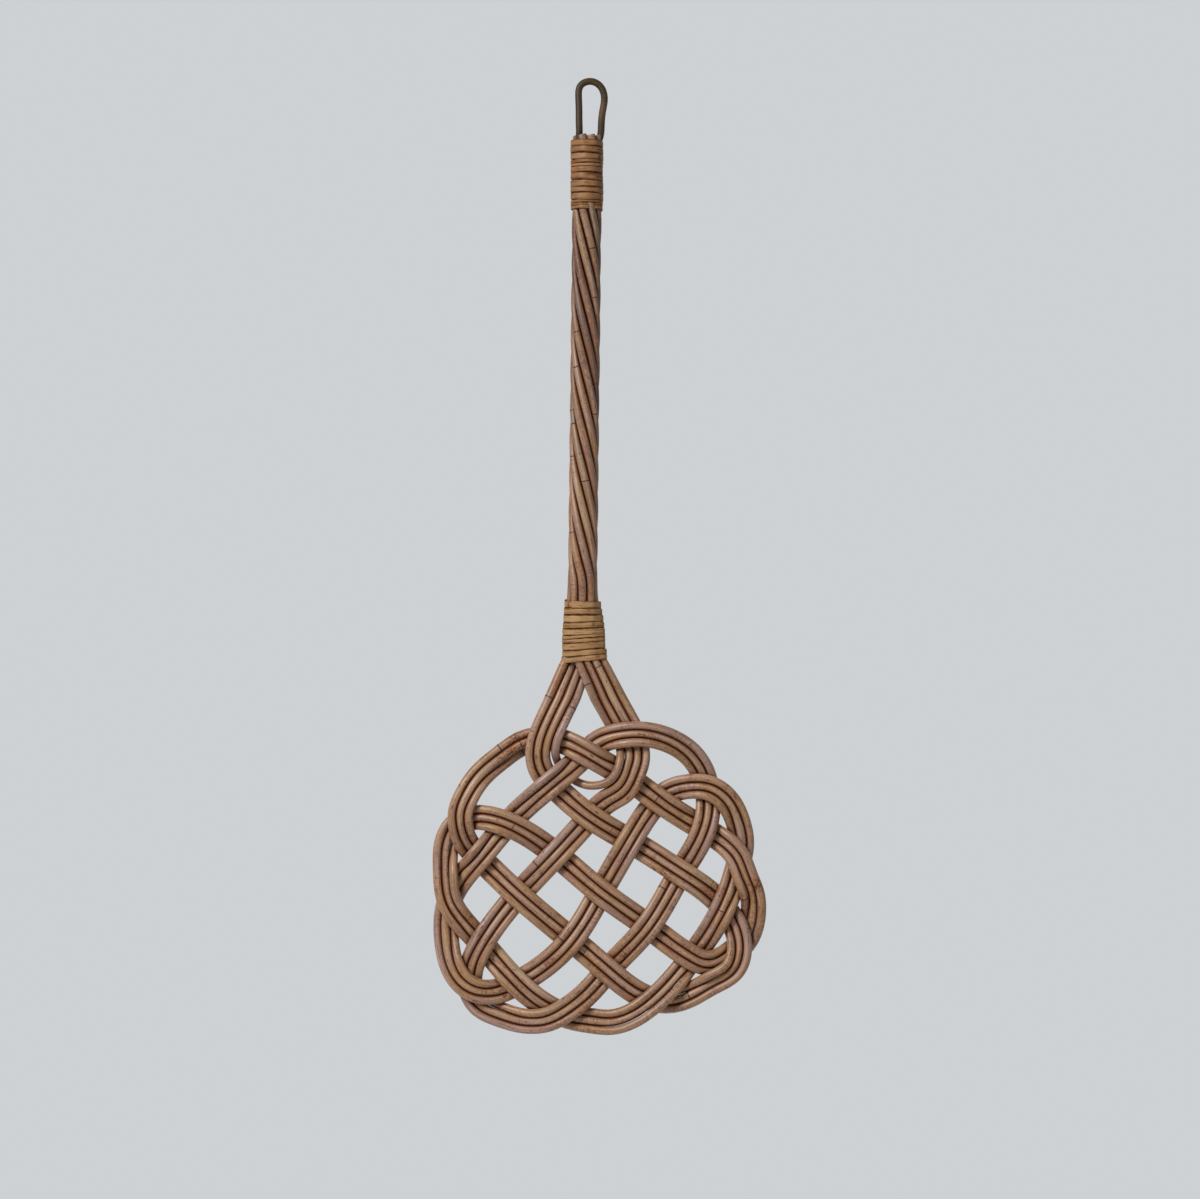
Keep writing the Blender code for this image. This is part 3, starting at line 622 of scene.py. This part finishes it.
# peeled rattan: golden and rosy stretches, fine grain, dark specks, joints with a stain beside them, and
# painted shade where canes meet and on the grip, darker up the handle
def caneFinish(name, piece, seed, look):
    finish = Finish(name, look, Roughness=0.5, Coat_Roughness=0.38, Specular_IOR_Level=0.25)
    noises = finish.noises(finish.attribute("straight", "Vector"), seed)
    joint, stained, crease, paintedShade = [
        finish.attribute(mark) for mark in ("joint", "stain", "crease", "paintedShade")
    ]
    tint, tinted = finish.attribute("tint", "Color"), finish.attribute("tint", "Alpha")
    height = finish.node("ShaderNodeSeparateXYZ", {}, {"Vector": finish.objectPlace()}, output="Z")
    brown, colours, relief = piece["brown"], look["colours"], look["relief"]
    pale = tuple(min(1, look["paleness"] * value) for value in piece["gold"][:3]) + (1,)
    # painted shade: 0 below the grip and 1 up the handle, where the colour darkens
    grip = finish.span("gripShade", height)
    grain, mottle = noises["grain"], noises["mottle"]
    specks = finish.span("speck", noises["speck"])
    creased = finish.span("wrinkle", noises["wrinkle"]) * (finish.span("patch", noises["patch"]) + crease)
    ring = 1 - finish.span("ring", joint - mottle * look["ringWander"])
    tone = finish.layered(piece["gold"], (
        ("rose", finish.span("rose", noises["wander"]), piece["rose"]),
        ("tint", tinted, tint),
        # painted shade: the grip darker towards the top of the handle
        ("gripShade", grip, colours["gripShade"]),
        ("grain", finish.span("grain", grain), brown),
        ("streak", finish.span("streak", noises["streak"]), colours["streak"]),
        ("mottle", finish.span("mottle", mottle), pale),
        ("wrinkle", creased, brown),
        ("stain", finish.span("stain", noises["stain"]), brown),
        ("jointStain", stained * finish.span("jointStain", noises["stain"]), colours["stain"]),
        ("jointSpeck", stained * finish.span("jointSpeck", noises["freckle"]), colours["speck"]),
        ("freckle", finish.span("freckle", noises["freckle"]), colours["speck"]),
        ("speck", specks, colours["speck"]),
        ("ring", ring, colours["ring"]),
        # painted shade where canes meet, deepest in the grip's gaps
        ("warmShade", finish.span("warmShade", paintedShade), colours["warmShade"]),
        ("paintedShade", finish.span("paintedShade", paintedShade), colours["paintedShade"]),
        ("deepShade", finish.span("deepShade", paintedShade) * grip, colours["deepShade"]),
    ))
    finish.feed("Base Color", tone)
    plain, rougher = look["roughness"]
    finish.feed("Roughness", plain + rougher * mottle)
    if look["coat"]:
        loss = look["coatLoss"]
        finish.feed("Coat Weight", look["coat"] * (1 - loss["paintedShade"] * paintedShade) * (1 - loss["grip"] * grip))
    raised = grain * relief["grain"] + mottle * relief["mottle"]
    finish.bumps(raised - creased * relief["wrinkle"] - ring * relief["ring"] - specks * relief["speck"])
    return finish.material


# the sawn ends: pale wood with dark pores
cutLook = {
    "noises": {"pores": (2600.0, (1, 1, 0.4), 1.0, 0, 0.55)}, "spans": {"pores": (0.48, 0.60)},
    "wood": colour(196, 164, 120), "dark": colour(96, 66, 42),
}


def cutEndFinish():
    finish = Finish("cutRattan", cutLook, Roughness=0.8)
    pores = finish.noises(finish.objectPlace())["pores"]
    finish.feed("Base Color", finish.mix(finish.span("pores", pores), cutLook["wood"], cutLook["dark"]))
    return finish.material


canes, caneRuns = {}, {}
caneEnds = cutEndFinish()
laidMarks = layMarks()
for order, (name, piece) in enumerate(canePieces.items()):
    patternSeed, shapeSeed = 5.0 * order, 7.0 * order + 1    # no two canes look alike
    look = loopLook if name == "loopCane" else caneLook
    finish = caneFinish(name + "Rattan", piece, patternSeed, look)
    made = addCane(name, piece, laidMarks[name], shapeSeed, finish, caneEnds)
    canes[name], caneRuns[name] = made
# painted shade where the canes meet
paintShadeWhereCanesMeet(canes, caneRuns)
print("canes made:", {name: len(cane.data.polygons) for name, cane in canes.items()})


# the bindings of flat strip. Widths are those of the turns, in millimetres. Blots and nicks have
# x, z, half width and half height in millimetres, as seen from the front, and strength
bindings = {
    "topBinding": {
        "node": "top_binding", "slot": "top_strip",
        "widths": (4.7, 5.0, 4.7, 2.5, 2.5, 4.3, 5.4, 5.0, 4.0, 5.4, 1.8, 1.8, 2.9),
        "thickness": 0.00085,
        "spill": (0.0003, 0.0014),             # above and below the CAD winding
        "tilt": (0.04, 0.04),                  # of the turns across the front, first and last
        "passing": {"leftLoopLeg": -0.0850},   # a cane that comes out above the last turns
        "lowest": -1.0,                        # turns below this level lie on the canes as they are at it
        "tones": (colour(135, 91, 53), colour(151, 110, 70), colour(74, 38, 19)),
        "blots": [(2.9, -65.5, 2.4, 1.6, 0.7), (-10.0, -63.0, 3.0, 2.0, 0.3)],
        "nicks": [(0.0, -65.4, 4.6, 0.6, 0.9), (6.0, -47.6, 1.6, 0.8, 0.8), (5.6, -54.5, 0.8, 2.6, 0.7)],
    },
    "bottomBinding": {
        "node": "bottom_binding", "slot": "bottom_strip",
        "widths": (5.4, 4.7, 5.4, 4.3, 4.7, 2.5, 2.9, 5.4, 4.3, 4.0),
        "thickness": 0.0008,
        "spill": (0.0022, 0.0020),
        "tilt": (0.05, 0.13),
        "passing": {},
        "lowest": -0.4125,
        "tones": (colour(160, 119, 73), colour(180, 142, 97), colour(84, 46, 20)),
        "blots": [
            (-15.5, -375.5, 1.8, 1.2, 1.0), (-1.2, -379.0, 1.0, 1.0, 0.9),
            (-14.4, -404.3, 3.2, 1.0, 0.6), (6.0, -404.0, 1.4, 1.4, 0.6), (4.6, -412.0, 2.4, 1.6, 0.9),
        ],
        "nicks": [
            (-16.8, -375.2, 0.7, 2.2, 0.9), (0.9, -388.6, 0.5, 1.4, 0.9), (5.2, -390.0, 1.3, 0.4, 0.9),
        ],
    },
}
stripShape = {
    "turnPoints": 64,
    "wrapGap": 0.0002,              # between the strip and the canes
    "seam": 0.00022,                # between turns
    "smoothSteps": 5,
    # how much and how fast the strip strays up and down, from where, stands off, and varies
    "stray": (0.00016, 9.1, 1.0), "lift": (0.00010, 7.3), "uneven": (0.03, 16.7),
    # across the strip: share of its width, of its thickness
    "profile": ((0.0, 0.0), (0.0, 0.55), (0.06, 0.85), (0.16, 0.97), (0.5, 1.0),
                (0.84, 0.97), (0.94, 0.85), (1.0, 0.55), (1.0, 0.0)),
    "smoothAngle": 60,
}


# a cane from its first point to where it turns back
def endRun(line):
    climb = np.diff(line[:, 2])
    turned = np.flatnonzero(climb * climb[0] < 0)
    return line[:turned[0] + 1] if len(turned) else line


# where each strand in the handle is at each level, with its radius, or -1 where it has ended
def bundleAt(strands, levels):
    found = []
    for line, radius, lowest in strands:
        run = line[np.argsort(line[:, 2])]
        inside = (levels >= max(run[0, 2], lowest)) & (levels <= run[-1, 2])
        x = np.interp(levels, run[:, 2], run[:, 0])
        y = np.interp(levels, run[:, 2], run[:, 1])
        found.append(np.column_stack((x, y, np.where(inside, radius, -1.0))))
    return np.array(found)


# the strip's way round the canes: where it lies, which way it faces, its height and its width
def windStrip(settings):
    low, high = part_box(settings["node"])
    top, bottom = high.z + settings["spill"][0], low.z - settings["spill"][1]
    widths, stepCount = settings["widths"], stripShape["turnPoints"]
    # the pitch between turns is the mean of their widths
    turns = np.arange(len(widths) * stepCount + 1) / stepCount
    width = np.interp(turns, np.arange(len(widths)) + 0.5, widths)
    fall = np.concatenate(([0.0], np.cumsum((width[1:] + width[:-1]) / 2 / stepCount)))
    scale = (top - bottom) / (fall[-1] + (width[0] + width[-1]) / 2)
    middle = top - (width[0] / 2 + fall) * scale
    width = width * scale - stripShape["seam"]
    strands = []
    for name, run in caneRuns.items():
        radius = canePieces[name]["handle"] / 2
        lowest = settings["passing"].get(name, -1.0)
        strands += [(endRun(points), radius, lowest) for points in (run["points"], run["points"][::-1])]
    angle = 2 * math.pi * turns + math.pi    # it starts and ends at the back
    normal = np.column_stack((np.sin(angle), -np.cos(angle)))
    tangent = np.column_stack((np.cos(angle), np.sin(angle)))
    reach = np.full(len(turns), -1.0)
    sideways = np.zeros(len(turns))
    for level in (middle - width / 2, middle, middle + width / 2):
        for strand in bundleAt(strands, np.maximum(level, settings["lowest"])):
            support = (strand[:, :2] * normal).sum(1) + strand[:, 2]
            better = (strand[:, 2] > 0) & (support > reach)
            reach[better] = support[better]
            sideways[better] = (strand[better, :2] * tangent[better]).sum(1)
    steps = stripShape["smoothSteps"]
    sideways = np.convolve(np.pad(sideways, steps // 2, mode="edge"), np.ones(steps) / steps, mode="valid")
    seat = normal * (reach + stripShape["wrapGap"])[:, None] + tangent * sideways[:, None]
    tilt = np.interp(turns, (0, len(widths)), settings["tilt"])
    stray, lift, uneven = stripShape["stray"], stripShape["lift"], stripShape["uneven"]
    middle = middle + tilt * (seat[:, 0] - seat[:, 0].mean())
    middle += stray[0] * np.sin(turns * stray[1] + stray[2])
    seat += normal * (lift[0] * (1 + np.sin(turns * lift[1])))[:, None]
    width *= 1 + uneven[0] * np.sin(turns * uneven[1])
    return seat, normal, middle, width


# what the finish reads on a strip: its own lengthwise place, its edges, blots and nicks
def markStrip(mesh, settings, seat, width):
    profile = np.array(stripShape["profile"])
    ring = np.repeat(np.arange(len(seat)), len(profile))
    across, out = np.tile(profile[:, 0], len(seat)), np.tile(profile[:, 1], len(seat))
    straight = np.column_stack((across * width[ring], out * settings["thickness"], lengthsAlong(seat)[ring]))
    giveAttribute(mesh, "straight", "vector", straight)
    giveAttribute(mesh, "edge", "value", np.abs(across - 0.5) * 2)
    corners = np.array([vertex.co for vertex in mesh.vertices]) * 1000
    for kind in ("blots", "nicks"):
        marked = np.zeros(len(corners))
        for x, z, halfWidth, halfHeight, strength in settings[kind]:
            apart = np.hypot((corners[:, 0] - x) / halfWidth, (corners[:, 2] - z) / halfHeight)
            marked += strength * np.exp(-apart**4) * (corners[:, 1] < 0)
        giveAttribute(mesh, kind, "value", marked)


def addBinding(name, settings, finish):
    seat, normal, middle, width = windStrip(settings)
    work = bmesh.new()
    loops = []
    for step in range(len(seat)):
        loop = []
        for across, out in stripShape["profile"]:
            flat = seat[step] + normal[step] * out * settings["thickness"]
            loop.append(work.verts.new((*flat, middle[step] + (across - 0.5) * width[step])))
        loops.append(loop)
    count = len(stripShape["profile"])
    for before, after in zip(loops, loops[1:]):
        for k in range(count):
            work.faces.new((before[k], before[(k + 1) % count], after[(k + 1) % count], after[k]))
    work.faces.new(loops[0][::-1])
    work.faces.new(loops[-1])
    bmesh.ops.recalc_face_normals(work, faces=work.faces)
    mesh = bpy.data.meshes.new(name)
    work.to_mesh(mesh)
    work.free()
    markStrip(mesh, settings, seat, width)
    mesh.materials.append(finish)
    strip = bpy.data.objects.new(name, mesh)
    bpy.context.collection.objects.link(strip)
    bpy.ops.object.select_all(action="DESELECT")
    strip.select_set(True)
    bpy.context.view_layer.objects.active = strip
    bpy.ops.object.shade_smooth_by_angle(angle=math.radians(stripShape["smoothAngle"]))
    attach(strip, "root")
    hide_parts(settings["node"])


stripLook = {
    "noises": {  # scale, stretch, detail, shift and roughness
        "fibre": (1700.0, (1, 1, 0.04), 3.0, 0, 0.55),
        "patch": (60.0, (0.3, 1, 1), 2.0, 5, 0.55),
        "speck": (600.0, (1, 1, 0.3), 1.0, 9, 0.55),
        "wander": (11.0, (0, 0, 1), 1.0, 2, 0.55),
        "streak": (150.0, (0.3, 1, 1), 3.0, 13, 0.55),
    },
    "spans": {  # where a mark begins and where it is full
        "pale": (0.42, 0.66), "fibre": (0.45, 0.70), "speck": (0.69, 0.75), "blot": (0.50, 0.75),
        "edge": (1.12, 1.42),
    },
    "strengths": {"pale": 1.0, "fibre": 0.65, "speck": 0.6, "blot": 1.0, "edge": 0.95, "nick": 1.0},
    "blotColour": colour(150, 76, 38), "nickColour": colour(52, 26, 14),
    "paleMix": (0.5, 0.6),           # of patch and wander
    # how much streaks break up the painted shade at the seams
    "blotSpecks": 0.4, "seamShadeStreaks": 0.9,
    "bump": (0.5, 0.0003),           # strength and depth
    "roughness": (0.42, 0.2),        # plain, and more in patches
    "coat": (0.14, 0.12),            # plain, and less in patches
}


# flat split rattan: lengthwise fibres, a soft gloss, and dark edges, which are painted shade in the seams
# between turns
def stripFinish(name, tone, pale, dark):
    look = stripLook
    finish = Finish(name, look, Roughness=0.5, Coat_Roughness=0.4, Specular_IOR_Level=0.2)
    noises = finish.noises(finish.attribute("straight", "Vector"))
    fibre, patch, speck, wander, streak = [
        noises[name] for name in ("fibre", "patch", "speck", "wander", "streak")
    ]
    edge, blot, nick = [finish.attribute(mark) for mark in ("edge", "blots", "nicks")]
    paler = patch * look["paleMix"][0] + wander * look["paleMix"][1]
    body = finish.layered(tone, (
        ("pale", finish.span("pale", paler), pale),
        ("fibre", finish.span("fibre", fibre), dark),
        ("speck", finish.span("speck", speck), dark),
        ("blot", blot * finish.span("blot", patch + speck * look["blotSpecks"]), look["blotColour"]),
        # painted shade: the strip darkened along its edges, broken by streaks, in the seams between turns
        ("edge", finish.span("edge", edge + look["seamShadeStreaks"] * streak), dark),
        ("nick", nick, look["nickColour"]),
    ))
    finish.feed("Base Color", body)
    finish.feed("Roughness", look["roughness"][0] + look["roughness"][1] * patch)
    finish.feed("Coat Weight", look["coat"][0] - look["coat"][1] * patch)
    finish.bumps(fibre)
    return finish.material


for name, settings in bindings.items():
    addBinding(name, settings, stripFinish(name + "Strip", *settings["tones"]))
print("bindings wound")


# the core stays as it is, with plain dull cane
coreLook = {
    "noises": {"grain": (900.0, (1, 1, 0.05), 3.0, 0, 0.55)},
    "pale": colour(150, 112, 74), "dark": colour(96, 62, 38),
}
core = nodes["handle_core"]
coreFinish = Finish("coreRattan", coreLook, Roughness=0.7)
coreGrain = coreFinish.noises(coreFinish.objectPlace())["grain"]
coreFinish.feed("Base Color", coreFinish.mix(coreGrain, coreLook["pale"], coreLook["dark"]))
core.data.materials.clear()
core.data.materials.append(coreFinish.material)
print("core finished")


# a pale floor well below the hanging beater
floorLook = {"level": -1.0, "radius": 0.88, "sides": 96, "grey": 0.80}
bpy.ops.object.select_all(action="DESELECT")
bpy.ops.mesh.primitive_circle_add(vertices=floorLook["sides"], radius=floorLook["radius"],
                                  fill_type="NGON", location=(0, 0, floorLook["level"]))
floor = bpy.context.object
floor.name = "floor"
floorGrey = (*[floorLook["grey"]] * 3, 1)
floor.data.materials.append(Finish("floorPaint", Base_Color=floorGrey, Roughness=0.9).material)

# the world: what is seen of it is pale, and what it lights with is weak
worldLook = {
    "seen": colour(206, 209, 212), "light": (1.0, 1.0, 1.0, 1), "strength": 0.12,
    "seenBy": ("Is Camera Ray", "Is Glossy Ray", "Is Transmission Ray"),
}
world = bpy.context.scene.world or bpy.data.worlds.new("studio")
bpy.context.scene.world = world
world.use_nodes = True
studio = NodeTree(world.node_tree)
studio.nodes.clear()
seen = studio.node("ShaderNodeBackground", {}, {"Color": worldLook["seen"]})
lightValues = {"Color": worldLook["light"], "Strength": worldLook["strength"]}
light = studio.node("ShaderNodeBackground", {}, lightValues)
direct, mirrored, through = [
    studio.node("ShaderNodeLightPath", output=ray) for ray in worldLook["seenBy"]
]
shown = direct.larger(mirrored).larger(through)
both = studio.node("ShaderNodeMixShader", {}, {0: shown, 1: light, 2: seen})
studio.node("ShaderNodeOutputWorld", {}, {"Surface": both})

# the back lamp isn't mirrored, so that a front view has no bright rims
lamps = {
    "keyLamp": {"place": (-1.15, -1.45, 0.7), "size": 0.7, "power": 43.5, "mirrored": True},
    "fillLamp": {"place": (1.2, -1.5, -0.1), "size": 1.2, "power": 4.0, "mirrored": True},
    "backLamp": {"place": (0.25, 2.0, 0.4), "size": 1.0, "power": 30.0, "mirrored": False},
}
lampAim = (0.0, 0.0, -0.37)
for name, settings in lamps.items():
    lampData = bpy.data.lights.new(name, "AREA")
    lampData.energy = settings["power"]
    lampData.size = settings["size"]
    lamp = bpy.data.objects.new(name, lampData)
    lamp.location = settings["place"]
    away = np.array(settings["place"]) - np.array(lampAim)
    tilt = math.acos(away[2] / np.linalg.norm(away))
    lamp.rotation_euler = (tilt, 0, math.atan2(away[1], away[0]) + math.pi / 2)
    lamp.visible_glossy = settings["mirrored"]
    bpy.context.collection.objects.link(lamp)

cameraLook = {"distance": 2.2, "width": 0.864, "centre": (0.00605, -0.3708), "sensor": 36}
cameraData = bpy.data.cameras.new("camera")
cameraData.sensor_width = cameraLook["sensor"]
cameraData.lens = cameraLook["sensor"] * cameraLook["distance"] / cameraLook["width"]
camera = bpy.data.objects.new("camera", cameraData)
camera.location = (cameraLook["centre"][0], -cameraLook["distance"], cameraLook["centre"][1])
camera.rotation_euler = (math.pi / 2, 0, 0)
bpy.context.collection.objects.link(camera)
bpy.context.scene.camera = camera
bpy.context.scene.view_settings.view_transform = "Standard"
print("stage set")
